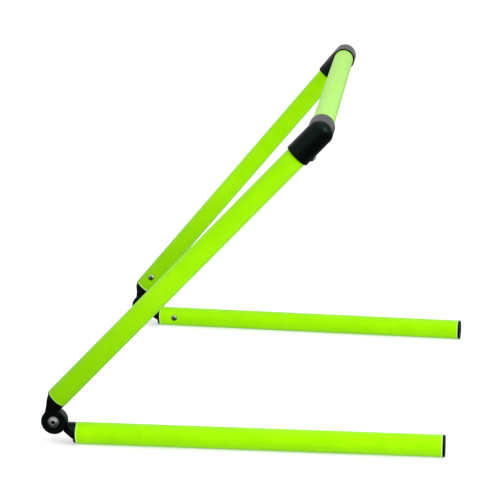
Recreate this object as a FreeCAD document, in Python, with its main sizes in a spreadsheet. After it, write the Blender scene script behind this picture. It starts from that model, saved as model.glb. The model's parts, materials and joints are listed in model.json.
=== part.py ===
import FreeCAD, Part
import math
import os
import Sketcher

# A folding agility hurdle: two foot tubes on the ground, two uprights hinged to them, and a
# crossbar held between the uprights by two elbows.
# X runs along the crossbar (right side at +X), Y from the hinges to the free ends of the feet,
# Z up. The origin is on the ground, at the middle of the object's length and width.

DIMENSIONS = {
    # the three kinds of tube
    "tube_radius": 13.35,
    "tube_wall": 2.0,
    "tube_edge": 0.5,
    "leg_tube_length": 442.0,
    "hurdle_width": 600.0,
    "spigot_play": 0.1,
    # how the hurdle stands
    "lean_right": 46.0,
    "lean_left": 49.55,
    "twist_left": 5.7,
    # how far each upright stops short of its elbow's inner stop
    "stop_gap_right": 1.4,
    "stop_gap_left": 0.0,
    # elbows
    "elbow_radius": 15.5,
    "elbow_reach": 38.5,
    "elbow_stop": 14.7,
    "elbow_play": 0.25,
    "elbow_passage": 10.5,
    "elbow_corner": 4.0,
    "elbow_rim": 0.7,
    "tube_to_elbow_centre": 14.8,
    # hinge halves
    "disc_radius": 15.7,
    "disc_thickness": 6.5,
    "disc_edge": 1.3,
    "disc_gap": 0.45,
    "upper_offset": 17.21,
    "upper_mouth": 22.48,
    "upper_collar": 1.2,
    "upper_collar_radius": 13.2,
    "upper_web_rise": 11.3,
    "upper_web_waist": 15.0,
    "upper_disc_room": 2.8,
    "lower_offset": 14.4,
    "lower_mouth": 27.3,
    "lower_collar": 3.0,
    "lower_collar_radius": 12.4,
    "lower_web_rise": 4.2,
    "lower_web_waist": 7.3,
    "lower_disc_room": 0.6,
    "web_radius": 13.1,
    "web_slope_start": 9.0,
    "web_ramp_start": 8.0,
    "spigot_length": 38.0,
    "spigot_bore": 8.0,
    # bolt, nut and washers
    "bolt_radius": 3.0,
    "bolt_flange_radius": 6.8,
    "bolt_flange_height": 0.9,
    "bolt_head_radius": 5.3,
    "bolt_head_height": 3.3,
    "bolt_socket_radius": 2.31,
    "bolt_socket_depth": 2.0,
    "bolt_length": 23.6,
    "bolt_play": 0.08,
    "nut_radius": 5.77,
    "nut_height": 4.4,
    "nut_collar_radius": 4.5,
    "nut_collar_height": 1.6,
    "nut_washer_radius": 6.0,
    "nut_washer_thickness": 1.6,
    "friction_washer_radius": 12.0,
    "friction_washer_thickness": 0.8,
    "face_play": 0.05,
    # pan-head screws
    "screw_head_radius": 4.4,
    "screw_head_height": 2.1,
    "screw_radius": 2.0,
    "screw_length": 12.0,
    "screw_recess_length": 4.4,
    "screw_recess_width": 1.1,
    "screw_recess_depth": 1.4,
    "screw_hole_radius": 2.2,
    "foot_screw_inset": 23.0,
    "upright_screw_inset": 21.0,
    "elbow_screw_reach": 27.0,
    "bar_screw_turn": 45.0,
    # plugs in the free ends of the feet
    "plug_flange": 3.0,
    "plug_edge": 1.0,
    "plug_depth": 18.0,
    "plug_wall": 2.0,
}

UP = FreeCAD.Vector(0, 0, 1)
RIGHT = FreeCAD.Vector(1, 0, 0)
ALONG_X = FreeCAD.Rotation(FreeCAD.Vector(0, 0, 1), FreeCAD.Vector(1, 0, 0))
ALONG_Y = FreeCAD.Rotation(FreeCAD.Vector(0, 0, 1), FreeCAD.Vector(0, 1, 0))
AGAINST_Y = FreeCAD.Rotation(FreeCAD.Vector(0, 0, 1), FreeCAD.Vector(0, -1, 0))
AGAINST_Z = FreeCAD.Rotation(FreeCAD.Vector(1, 0, 0), 180)
STANDING = FreeCAD.Rotation()
ON_SIDE = FreeCAD.Rotation(FreeCAD.Vector(1, 0, 0), 90)

doc = FreeCAD.newDocument("agility_hurdle")
sheet = doc.addObject("Spreadsheet::Sheet", "dims")
for row, (alias, number) in enumerate(DIMENSIONS.items(), start=1):
    sheet.set("A%d" % row, alias)
    sheet.set("B%d" % row, str(number))
    sheet.setAlias("B%d" % row, alias)
doc.recompute()

finished = []


def size(alias):
    """The number in one cell of the sheet."""
    return float(sheet.get(alias))


def finish(piece, label, placement):
    """Names a finished sub-part and puts it in its place."""
    piece.Label = label
    piece.Placement = placement
    finished.append(piece)
    return piece


def bind_place(piece, place):
    """Ties the position of a helper solid to the sheet."""
    for letter, formula in zip("xyz", place):
        piece.setExpression("Placement.Base." + letter, formula)


# ---------------------------------------------------------------- sketches and helper solids

def draw_outline(sketch, corners):
    """A closed outline of straight edges whose corners are formulas of the sheet's sizes."""
    count = len(corners)
    start = []
    for index in range(count):
        angle = 2 * math.pi * index / count
        start.append(FreeCAD.Vector(30 + 20 * math.cos(angle), 30 + 20 * math.sin(angle), 0))
    for index in range(count):
        sketch.addGeometry(Part.LineSegment(start[index], start[(index + 1) % count]), False)
    for index in range(count):
        sketch.addConstraint(Sketcher.Constraint("Coincident", index, 2, (index + 1) % count, 1))
    for index, (across, along) in enumerate(corners):
        ways = (("DistanceX", across, start[index].x), ("DistanceY", along, start[index].y))
        for kind, formula, value in ways:
            datum = sketch.addConstraint(Sketcher.Constraint(kind, -1, 1, index, 1, value))
            sketch.setExpression("Constraints[%d]" % datum, formula)


def draw_circle(sketch, radius, centre=None):
    """A circle on the sketch's origin, or at a centre given as two formulas."""
    index = sketch.addGeometry(Part.Circle(FreeCAD.Vector(5, 7, 0), UP, 3), False)
    datum = sketch.addConstraint(Sketcher.Constraint("Radius", index, 3))
    sketch.setExpression("Constraints[%d]" % datum, radius)
    if centre is None:
        sketch.addConstraint(Sketcher.Constraint("Coincident", index, 3, -1, 1))
        return
    for kind, formula, value in (("DistanceX", centre[0], 5), ("DistanceY", centre[1], 7)):
        datum = sketch.addConstraint(Sketcher.Constraint(kind, -1, 1, index, 3, value))
        sketch.setExpression("Constraints[%d]" % datum, formula)


def draw_hexagon(sketch, corner_radius):
    """A regular hexagon about the sketch's origin."""
    corners = []
    for index in range(6):
        angle = math.radians(60 * index)
        corners.append(("%s * %.9f" % (corner_radius, math.cos(angle)),
                        "%s * %.9f" % (corner_radius, math.sin(angle))))
    draw_outline(sketch, corners)


def body_sketch(body, role, name, lift=None):
    """A sketch on one of the body's own origin planes, lifted off it by a formula."""
    sketch = body.newObject("Sketcher::SketchObject", name)
    plane = [part for part in body.Origin.OriginFeatures if part.Role == role][0]
    sketch.AttachmentSupport = (plane, [""])
    sketch.MapMode = "FlatFace"
    if lift is not None:
        sketch.setExpression("AttachmentOffset.Base.z", lift)
    return sketch


def turned_body(name, profile):
    """A body turned about its Z axis from an outline of (radius, height) corners."""
    body = doc.addObject("PartDesign::Body", name)
    sketch = body_sketch(body, "XZ_Plane", name + "_profile")
    draw_outline(sketch, profile)
    turn = body.newObject("PartDesign::Revolution", name + "_turn")
    turn.Profile = sketch
    turn.ReferenceAxis = (sketch, ["V_Axis"])
    turn.Angle = 360
    sketch.Visibility = False
    doc.recompute()
    return body


def cut_pocket(body, sketch, depth, reverse=False):
    """Cuts a sketch into the body to a depth, and makes sure that it removed material."""
    before = body.Shape.Volume
    pocket = body.newObject("PartDesign::Pocket", sketch.Name + "_cut")
    pocket.Profile = sketch
    pocket.Reversed = reverse
    pocket.setExpression("Length", depth)
    body.Tip = pocket
    doc.recompute()
    if body.Shape.Volume > before - 0.5:
        raise RuntimeError(sketch.Name + " cut nothing")
    return pocket


def cylinder(name, radius, height, place, turn=STANDING):
    solid = doc.addObject("Part::Cylinder", name)
    solid.setExpression("Radius", radius)
    solid.setExpression("Height", height)
    solid.Placement = FreeCAD.Placement(FreeCAD.Vector(), turn)
    bind_place(solid, place)
    return solid


def prism(name, corners, depth, place, turn):
    """A straight-sided solid: an outline pushed along its sketch's normal."""
    sketch = doc.addObject("Sketcher::SketchObject", name + "_outline")
    draw_outline(sketch, corners)
    sketch.Placement = FreeCAD.Placement(FreeCAD.Vector(), turn)
    bind_place(sketch, place)
    solid = doc.addObject("Part::Extrusion", name)
    solid.Base = sketch
    solid.DirMode = "Normal"
    solid.Solid = True
    solid.setExpression("LengthFwd", depth)
    return solid


def joined(name, solids):
    fuse = doc.addObject("Part::MultiFuse", name)
    fuse.Shapes = solids
    fuse.Refine = True
    return fuse


def shared(name, first, second):
    common = doc.addObject("Part::Common", name)
    common.Base = first
    common.Tool = second
    return common


def removed(name, solid, tools):
    cut = doc.addObject("Part::Cut", name)
    cut.Base = solid
    cut.Tool = joined(name + "_tools", tools) if len(tools) > 1 else tools[0]
    cut.Refine = True
    return cut


# ---------------------------------------------------------------- tubes and plugs

def tube(name, length, holes):
    """A plain tube from Z = 0 up, with screw holes through one wall.

    Each hole is (height formula, angle), where the angle turns from +Y about Z, in degrees.
    """
    outer = "dims.tube_radius"
    inner = "dims.tube_radius - dims.tube_wall"
    edge = "dims.tube_edge"
    body = turned_body(name, [
        (inner, "0 mm"),
        (outer + " - " + edge, "0 mm"),
        (outer, edge),
        (outer, length + " - " + edge),
        (outer + " - " + edge, length),
        (inner, length),
    ])
    for number, (height, angle) in enumerate(holes):
        sketch = body_sketch(body, "XZ_Plane", "%s_hole_%d" % (name, number))
        about_axis = FreeCAD.Rotation(FreeCAD.Vector(0, 1, 0), angle)
        sketch.AttachmentOffset = FreeCAD.Placement(FreeCAD.Vector(), about_axis)
        draw_circle(sketch, "dims.screw_hole_radius", ("0 mm", height))
        cut_pocket(body, sketch, "dims.tube_radius + 1")
    return body


def foot_plug(name):
    """A cup-shaped plug: a flange as wide as the tube, and a thin skirt inside it."""
    skirt = "dims.tube_radius - dims.tube_wall - dims.spigot_play"
    return turned_body(name, [
        ("0 mm", "-dims.plug_flange"),
        ("dims.tube_radius - dims.plug_edge", "-dims.plug_flange"),
        ("dims.tube_radius - 0.3 * dims.plug_edge", "-dims.plug_flange + 0.3 * dims.plug_edge"),
        ("dims.tube_radius", "-dims.plug_flange + dims.plug_edge"),
        ("dims.tube_radius", "0 mm"),
        (skirt, "0 mm"),
        (skirt, "dims.plug_depth"),
        (skirt + " - dims.plug_wall", "dims.plug_depth"),
        (skirt + " - dims.plug_wall", "0 mm"),
        ("0 mm", "0 mm"),
    ])


# ---------------------------------------------------------------- elbows

def bar_screw_way(screw_side):
    """The direction of the crossbar's screw, in the elbow's own axes."""
    turn = math.radians(size("bar_screw_turn"))
    return FreeCAD.Vector(0, screw_side * math.cos(turn), -math.sin(turn))


def elbow(name, screw_side):
    """Two sockets at a right angle: one down the upright (-Z), one along the crossbar (+X).

    The outer corner is a mitre whose ridge is rolled over. The upright's screw sits at
    screw_side * Y, and the crossbar's screw is turned from there towards the upright.
    """
    radius = "dims.elbow_radius"
    double = "2 * dims.elbow_radius"
    rest = "dims.elbow_radius - dims.elbow_corner"
    origin = ("0 mm", "0 mm", "0 mm")
    leg = cylinder(name + "_leg", radius, "dims.elbow_reach", ("0 mm", "0 mm", "-dims.elbow_reach"))
    arm = cylinder(name + "_arm", radius, "dims.elbow_reach", origin, ALONG_X)
    tall = cylinder(name + "_tall", radius, double, ("0 mm", "0 mm", "-dims.elbow_radius"))
    wide = cylinder(name + "_wide", radius, double, ("-dims.elbow_radius", "0 mm", "0 mm"), ALONG_X)
    corner = shared(name + "_corner", tall, wide)
    ridge = prism(name + "_ridge", [
        ("-dims.elbow_radius - 1", "dims.elbow_corner"),
        ("-dims.elbow_corner", "dims.elbow_corner"),
        ("-dims.elbow_corner", "dims.elbow_radius + 1"),
        ("-dims.elbow_radius - 1", "dims.elbow_radius + 1"),
    ], double + " + 2", ("0 mm", "dims.elbow_radius + 1", "0 mm"), ON_SIDE)
    mitre = removed(name + "_mitre", corner, [ridge])

    segment = doc.addObject("Part::Feature", name + "_roll")
    reach = size("elbow_radius")
    inset = size("elbow_corner")
    half = math.sqrt(reach ** 2 - inset ** 2)
    arc = Part.Arc(FreeCAD.Vector(-inset, -half, inset), FreeCAD.Vector(-reach, 0, inset),
                   FreeCAD.Vector(-inset, half, inset))
    chord = Part.LineSegment(FreeCAD.Vector(-inset, half, inset), FreeCAD.Vector(-inset, -half, inset))
    face = Part.Face(Part.Wire([arc.toShape(), chord.toShape()]))
    segment.Shape = face.revolve(FreeCAD.Vector(-inset, 0, inset), FreeCAD.Vector(0, 1, 0), 90)
    outside = joined(name + "_outside", [leg, arm, mitre, segment])

    bore = "dims.tube_radius + dims.elbow_play"
    depth = "dims.elbow_reach - dims.elbow_stop + 1"
    low_bore = cylinder(name + "_low_bore", bore, depth, ("0 mm", "0 mm", "-dims.elbow_reach - 1"))
    side_bore = cylinder(name + "_side_bore", bore, depth, ("dims.elbow_stop", "0 mm", "0 mm"), ALONG_X)
    low_way = cylinder(name + "_low_way", "dims.elbow_passage", "dims.elbow_stop + 1",
                       ("0 mm", "0 mm", "-dims.elbow_stop - 1"))
    side_way = cylinder(name + "_side_way", "dims.elbow_passage", "dims.elbow_stop + 1", origin, ALONG_X)
    low_turn = ALONG_Y if screw_side > 0 else AGAINST_Y
    side_turn = FreeCAD.Rotation(UP, bar_screw_way(screw_side))
    low_hole = cylinder(name + "_low_hole", "dims.screw_hole_radius", "dims.elbow_radius + 1",
                        ("0 mm", "0 mm", "-dims.elbow_screw_reach"), low_turn)
    side_hole = cylinder(name + "_side_hole", "dims.screw_hole_radius", "dims.elbow_radius + 1",
                         ("dims.elbow_screw_reach", "0 mm", "0 mm"), side_turn)
    hollow = removed(name + "_hollow", outside, [low_bore, side_bore, low_way, side_way, low_hole, side_hole])
    doc.recompute()

    rims = []
    for index, edge in enumerate(hollow.Shape.Edges, start=1):
        if edge.Degenerated:
            continue
        curve = edge.Curve
        if not isinstance(curve, Part.Circle) or abs(curve.Radius - reach) > 0.01:
            continue
        far = max(abs(curve.Center.x), abs(curve.Center.z))
        if abs(far - size("elbow_reach")) < 0.01:
            rims.append((index, size("elbow_rim"), size("elbow_rim")))
    rounded = doc.addObject("Part::Fillet", name)
    rounded.Base = hollow
    rounded.Edges = rims
    return rounded


# ---------------------------------------------------------------- hinge halves

def hinge_half(name, kind, hand):
    """One moulded half of a hinge.

    X runs along its tube, Y from the pivot to the tube's axis, and the pivot is along Z at the
    origin. The disc lies at hand * Z, so that two halves of one side share a pivot face to face.
    """
    offset = "dims.%s_offset" % kind
    mouth = "dims.%s_mouth" % kind
    collar = "dims.%s_collar" % kind
    collar_radius = "dims.%s_collar_radius" % kind
    web_rise = "%s + dims.%s_web_rise" % (offset, kind)
    web_foot = "%s - dims.web_radius + 0.2" % offset
    web_end = "%s - %s" % (mouth, collar)
    face = "dims.disc_gap + dims.disc_thickness"
    span = "2 * dims.tube_radius + 2"
    down = "-dims.tube_radius - 1"

    disc_place = "dims.disc_gap" if hand > 0 else "-dims.disc_gap - dims.disc_thickness"
    disc = cylinder(name + "_disc", "dims.disc_radius", "dims.disc_thickness", ("0 mm", "0 mm", disc_place))
    doc.recompute()
    bevelled = doc.addObject("Part::Chamfer", name + "_bevelled")
    bevelled.Base = disc
    outer_height = hand * (size("disc_gap") + size("disc_thickness"))
    for index, edge in enumerate(disc.Shape.Edges, start=1):
        if isinstance(edge.Curve, Part.Circle) and abs(edge.Curve.Center.z - outer_height) < 0.01:
            bevelled.Edges = [(index, size("disc_edge"), size("disc_edge"))]

    web_outline = prism(name + "_web_outline", [
        ("0 mm", web_foot),
        (web_end, web_foot),
        (web_end, web_rise),
        ("0 mm", "dims.%s_web_waist" % kind),
    ], span, ("0 mm", "0 mm", down), STANDING)
    web_bar = cylinder(name + "_web_bar", "dims.web_radius", web_end, ("0 mm", offset, "0 mm"), ALONG_X)
    web_round = shared(name + "_web_round", web_outline, web_bar)

    room_radius = "dims.disc_radius + dims.%s_disc_room" % kind
    room_height = "dims.tube_radius + 1 + dims.disc_gap"
    room_place = down if hand > 0 else "-dims.disc_gap"
    room = cylinder(name + "_room", room_radius, room_height, ("0 mm", "0 mm", room_place))

    # the web thins out to the disc on the disc's own side, and runs out before the other disc
    cuts = [room]
    for label, start, level, way in (("slope", "dims.web_slope_start", face, hand),
                                     ("ramp", "dims.web_ramp_start", "dims.disc_gap", -hand)):
        sign = "" if way > 0 else "-"
        corners = [
            ("-2 * dims.disc_radius", "%s(%s)" % (sign, level)),
            (start, "%s(%s)" % (sign, level)),
            (web_end, "%s(dims.tube_radius)" % sign),
            (web_end, "%s(dims.tube_radius + 2)" % sign),
            ("-2 * dims.disc_radius", "%s(dims.tube_radius + 2)" % sign),
        ]
        cuts.append(prism("%s_%s" % (name, label), corners, "4 * dims.tube_radius + 20",
                          ("0 mm", "2 * dims.tube_radius + 20", "0 mm"), ON_SIDE))
    web = removed(name + "_web", web_round, cuts)

    rim = cylinder(name + "_rim", collar_radius, collar, (web_end, offset, "0 mm"), ALONG_X)
    spigot = cylinder(name + "_spigot", "dims.tube_radius - dims.tube_wall - dims.spigot_play",
                      "dims.spigot_length", (mouth, offset, "0 mm"), ALONG_X)
    outside = joined(name + "_outside", [bevelled, web, rim, spigot])

    inset = "dims.upright_screw_inset" if kind == "upper" else "dims.foot_screw_inset"
    bolt_hole = cylinder(name + "_bolt_hole", "dims.bolt_radius + dims.bolt_play",
                         "2 * dims.tube_radius", ("0 mm", "0 mm", "-dims.tube_radius"))
    spigot_bore = cylinder(name + "_bore", "dims.spigot_bore", "dims.spigot_length - 4",
                           ("%s + 5" % mouth, offset, "0 mm"), ALONG_X)
    inner_side = -hand if kind == "upper" else hand
    hole_turn = STANDING if inner_side > 0 else AGAINST_Z
    screw_hole = cylinder(name + "_screw_hole", "dims.screw_hole_radius", "dims.tube_radius",
                          ("%s + %s" % (mouth, inset), offset, "0 mm"), hole_turn)
    return removed(name, outside, [bolt_hole, spigot_bore, screw_hole])


# ---------------------------------------------------------------- fasteners

def bolt(name):
    """A flanged button-head bolt with a hexagon socket, its shank pointing down from Z = 0."""
    body = turned_body(name, [
        ("0 mm", "dims.bolt_head_height"),
        ("0.55 * dims.bolt_head_radius", "dims.bolt_head_height"),
        ("0.82 * dims.bolt_head_radius", "0.8 * dims.bolt_head_height"),
        ("dims.bolt_head_radius", "0.45 * dims.bolt_head_height"),
        ("dims.bolt_head_radius", "dims.bolt_flange_height"),
        ("dims.bolt_flange_radius - 0.3", "dims.bolt_flange_height"),
        ("dims.bolt_flange_radius", "0.5 * dims.bolt_flange_height"),
        ("dims.bolt_flange_radius", "0 mm"),
        ("dims.bolt_radius", "0 mm"),
        ("dims.bolt_radius", "-dims.bolt_length + 0.8"),
        ("dims.bolt_radius - 0.8", "-dims.bolt_length"),
        ("0 mm", "-dims.bolt_length"),
    ])
    socket = body_sketch(body, "XY_Plane", name + "_socket", "dims.bolt_head_height")
    draw_hexagon(socket, "dims.bolt_socket_radius")
    cut_pocket(body, socket, "dims.bolt_socket_depth")
    return body


def lock_nut(name):
    """A hexagon nut with a round collar, from Z = 0 up, and a plain hole for the bolt."""
    body = doc.addObject("PartDesign::Body", name)
    base = body_sketch(body, "XY_Plane", name + "_hexagon")
    draw_hexagon(base, "dims.nut_radius")
    hexagon = body.newObject("PartDesign::Pad", name + "_pad")
    hexagon.Profile = base
    hexagon.setExpression("Length", "dims.nut_height")
    top = body_sketch(body, "XY_Plane", name + "_collar", "dims.nut_height")
    draw_circle(top, "dims.nut_collar_radius")
    collar = body.newObject("PartDesign::Pad", name + "_collar_pad")
    collar.Profile = top
    collar.setExpression("Length", "dims.nut_collar_height")
    body.Tip = collar
    doc.recompute()
    hole = body_sketch(body, "XY_Plane", name + "_hole")
    draw_circle(hole, "dims.bolt_radius + 0.03")
    cut_pocket(body, hole, "dims.nut_height + dims.nut_collar_height", reverse=True)
    return body


def washer(name, inner, outer, thickness):
    """A flat ring from Z = 0 up, with slightly broken outer edges."""
    return turned_body(name, [
        (inner, "0 mm"),
        ("%s - 0.15" % outer, "0 mm"),
        (outer, "0.15 mm"),
        (outer, "%s - 0.15" % thickness),
        ("%s - 0.15" % outer, thickness),
        (inner, thickness),
    ])


def screw(name):
    """A pan-head self-tapping screw with a cross recess, its shank pointing down from Z = 0."""
    body = turned_body(name, [
        ("0 mm", "dims.screw_head_height"),
        ("0.45 * dims.screw_head_radius", "0.97 * dims.screw_head_height"),
        ("0.75 * dims.screw_head_radius", "0.8 * dims.screw_head_height"),
        ("0.94 * dims.screw_head_radius", "0.45 * dims.screw_head_height"),
        ("dims.screw_head_radius", "0 mm"),
        ("dims.screw_radius", "0 mm"),
        ("dims.screw_radius", "-0.75 * dims.screw_length"),
        ("0.2 mm", "-dims.screw_length"),
        ("0 mm", "-dims.screw_length"),
    ])
    recess = body_sketch(body, "XY_Plane", name + "_recess", "dims.screw_head_height")
    long_half = "0.5 * dims.screw_recess_length"
    thin_half = "0.5 * dims.screw_recess_width"
    cross = []
    for across, along in ((1, 0), (0, 1), (-1, 0), (0, -1)):
        # the two tip corners of one blade of the cross, then the notch before the next blade
        for side in (-1, 1):
            cross.append(("%d * %s + %d * %s" % (across, long_half, -side * along, thin_half),
                          "%d * %s + %d * %s" % (along, long_half, side * across, thin_half)))
        cross.append(("%d * %s" % (across - along, thin_half), "%d * %s" % (across + along, thin_half)))
    draw_outline(recess, cross)
    cut_pocket(body, recess, "dims.screw_recess_depth")
    return body


# ---------------------------------------------------------------- where everything stands

def pose(origin, z_axis, x_axis):
    """A placement whose Z axis is z_axis and whose X axis is as near x_axis as it can be."""
    side = z_axis.cross(x_axis)
    return FreeCAD.Placement(origin, FreeCAD.Rotation(x_axis, side, z_axis, "ZXY"))


class Side:
    """The directions and centres of one side of the hurdle."""

    def __init__(self, name, hand, lean, twist):
        self.name = name
        self.hand = hand
        self.rise = FreeCAD.Vector(0, math.cos(math.radians(lean)), math.sin(math.radians(lean)))
        self.hinge = FreeCAD.Rotation(self.rise, twist).multVec(RIGHT)
        self.lift = self.hinge.cross(self.rise)
        self.forward = UP.cross(self.hinge).normalize()
        self.drop = self.forward.cross(self.hinge)
        self.inward = self.hinge * -hand

    def stand_at(self, pivot_y):
        """Puts the side down with its foot tube on the ground and its elbow at the full width."""
        reach = size("upper_mouth") + size("leg_tube_length")
        reach += size("stop_gap_" + self.name) + size("tube_to_elbow_centre")
        climb = self.lift * size("upper_offset") + self.rise * reach
        self.pivot = FreeCAD.Vector(
            self.hand * size("hurdle_width") / 2 - climb.x,
            pivot_y,
            size("tube_radius") - self.drop.z * size("lower_offset"))
        self.elbow = self.pivot + climb
        self.upright_line = self.pivot + self.lift * size("upper_offset")
        self.foot_line = self.pivot + self.drop * size("lower_offset")

    def back_reach(self):
        """How far this side's hinge discs reach behind their pivot."""
        tilt = abs(self.hinge.y)
        flat_edge = size("disc_gap") + size("disc_thickness") - size("disc_edge")
        return size("disc_radius") * math.sqrt(1 - tilt ** 2) + flat_edge * tilt


def turned_to(placement, direction):
    """The angle about a tube's axis, from its own +Y, at which a direction lies."""
    local = placement.Rotation.inverted().multVec(direction)
    return math.degrees(math.atan2(-local.x, local.y))


foot_reach = size("lower_mouth") + size("leg_tube_length") + size("plug_flange")
left = Side("left", -1, size("lean_left"), -size("twist_left"))
right = Side("right", 1, size("lean_right"), 0.0)
hinge_line = -(foot_reach - left.back_reach()) / 2
left.stand_at(hinge_line)
right.stand_at(hinge_line)
bar_way = (left.elbow - right.elbow).normalize()
bar_length = (left.elbow - right.elbow).Length - 2 * size("tube_to_elbow_centre")
sheet.set("A%d" % (len(DIMENSIONS) + 1), "bar_length")
sheet.set("B%d" % (len(DIMENSIONS) + 1), "%.4f" % bar_length)
sheet.setAlias("B%d" % (len(DIMENSIONS) + 1), "bar_length")
doc.recompute()

wall = size("tube_radius")
disc_face = size("disc_gap") + size("disc_thickness")
elbow_hole = "(dims.elbow_screw_reach - dims.tube_to_elbow_centre)"
bar_under = {}

for side in (right, left):
    tag = "_" + side.name

    # the foot: tube, plug and lower hinge half, with its screw on the inner face
    foot_start = side.foot_line + side.forward * size("lower_mouth")
    foot_end = foot_start + side.forward * size("leg_tube_length")
    foot_pose = pose(foot_start, side.forward, side.inward.cross(side.forward))
    foot = tube("foot_tube" + tag, "dims.leg_tube_length", [("dims.foot_screw_inset", 0)])
    finish(foot, "foot_tube" + tag, foot_pose)
    plug = foot_plug("foot_plug" + tag)
    finish(plug, "foot_plug" + tag, pose(foot_end, side.forward * -1, side.hinge))
    lower = hinge_half("hinge_lower" + tag, "lower", side.hand)
    finish(lower, "hinge_lower" + tag, pose(side.pivot, side.hinge * -1, side.forward))
    foot_screw = screw("foot_screw" + tag)
    spot = foot_start + side.forward * size("foot_screw_inset") + side.inward * wall
    finish(foot_screw, "foot_screw" + tag, pose(spot, side.inward, side.forward))

    # the elbow and its two screws, on the underside; the crossbar's is turned towards the upright
    bar_inward = bar_way * side.hand
    elbow_pose = pose(side.elbow, side.rise, bar_inward)
    finish(elbow("elbow" + tag, -side.hand), "elbow" + tag, elbow_pose)
    under = elbow_pose.Rotation.multVec(FreeCAD.Vector(0, -side.hand, 0))
    low_spot = side.elbow - side.rise * size("elbow_screw_reach") + under * size("elbow_radius")
    low_screw = screw("elbow_upright_screw" + tag)
    finish(low_screw, "elbow_upright_screw" + tag, pose(low_spot, under, side.rise))
    bar_way_down = elbow_pose.Rotation.multVec(bar_screw_way(-side.hand))
    bar_under[side.name] = bar_way_down
    arm_way = elbow_pose.Rotation.multVec(RIGHT)
    bar_spot = side.elbow + arm_way * size("elbow_screw_reach")
    bar_spot += bar_way_down * size("elbow_radius")
    bar_screw = screw("elbow_bar_screw" + tag)
    finish(bar_screw, "elbow_bar_screw" + tag, pose(bar_spot, bar_way_down, arm_way))

    # the upright: tube and upper hinge half, with its screw on the inner face
    start = side.upright_line + side.rise * size("upper_mouth")
    upright_pose = pose(start, side.rise, side.inward.cross(side.rise))
    upright = tube("upright_tube" + tag, "dims.leg_tube_length", [
        ("dims.upright_screw_inset", 0),
        ("dims.leg_tube_length + dims.stop_gap%s - %s" % (tag, elbow_hole),
         turned_to(upright_pose, under)),
    ])
    finish(upright, "upright_tube" + tag, upright_pose)
    upper = hinge_half("hinge_upper" + tag, "upper", side.hand)
    finish(upper, "hinge_upper" + tag, pose(side.pivot, side.hinge, side.rise))
    upright_screw = screw("upright_screw" + tag)
    spot = start + side.rise * size("upright_screw_inset") + side.inward * wall
    finish(upright_screw, "upright_screw" + tag, pose(spot, side.inward, side.rise))

    # the hinge's bolt from the outside, and its washers and nut on the inside
    outward = side.hinge * side.hand
    finish(bolt("hinge_bolt" + tag), "hinge_bolt" + tag,
           pose(side.pivot + outward * disc_face, outward, side.rise))
    ring = washer("friction_washer" + tag, "dims.bolt_radius + dims.bolt_play",
                  "dims.friction_washer_radius", "dims.friction_washer_thickness")
    ring_lift = size("disc_gap") - size("friction_washer_thickness")
    finish(ring, "friction_washer" + tag, pose(side.pivot + outward * ring_lift, outward, side.rise))
    flat = washer("nut_washer" + tag, "dims.bolt_radius + dims.bolt_play",
                  "dims.nut_washer_radius", "dims.nut_washer_thickness")
    flat_base = side.pivot - outward * (disc_face + size("face_play"))
    finish(flat, "nut_washer" + tag, pose(flat_base, outward * -1, side.rise))
    nut_base = flat_base - outward * size("nut_washer_thickness")
    finish(lock_nut("lock_nut" + tag), "lock_nut" + tag, pose(nut_base, outward * -1, side.rise))

bar_start = right.elbow + bar_way * size("tube_to_elbow_centre")
bar_pose = pose(bar_start, bar_way, right.rise)
crossbar = tube("crossbar_tube", "dims.bar_length", [
    (elbow_hole, turned_to(bar_pose, bar_under["right"])),
    ("dims.bar_length - " + elbow_hole, turned_to(bar_pose, bar_under["left"])),
])
finish(crossbar, "crossbar_tube", bar_pose)

# ---------------------------------------------------------------- checks and export

doc.recompute()
for piece in doc.Objects:
    if "Invalid" in piece.State or "Error" in piece.State:
        raise RuntimeError("%s did not compute: %s" % (piece.Label, piece.State))
for piece in finished:
    if piece.Shape.isNull() or not piece.Shape.isValid():
        raise RuntimeError("%s has no valid shape" % piece.Label)
    if len(piece.Shape.Solids) != 1:
        raise RuntimeError("%s is %d solids" % (piece.Label, len(piece.Shape.Solids)))

os.makedirs("parts", exist_ok=True)
for piece in finished:
    piece.Shape.exportStep("parts/%s.step" % piece.Label)
for side in (right, left):
    print(side.name, "pivot", side.pivot, "hinge", side.hinge, "elbow", side.elbow)
print("crossbar length %.2f, %d pieces" % (bar_length, len(finished)))
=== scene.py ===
import json
import math

import bmesh
import bpy
import numpy as np
from mathutils import Matrix, Vector

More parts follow.
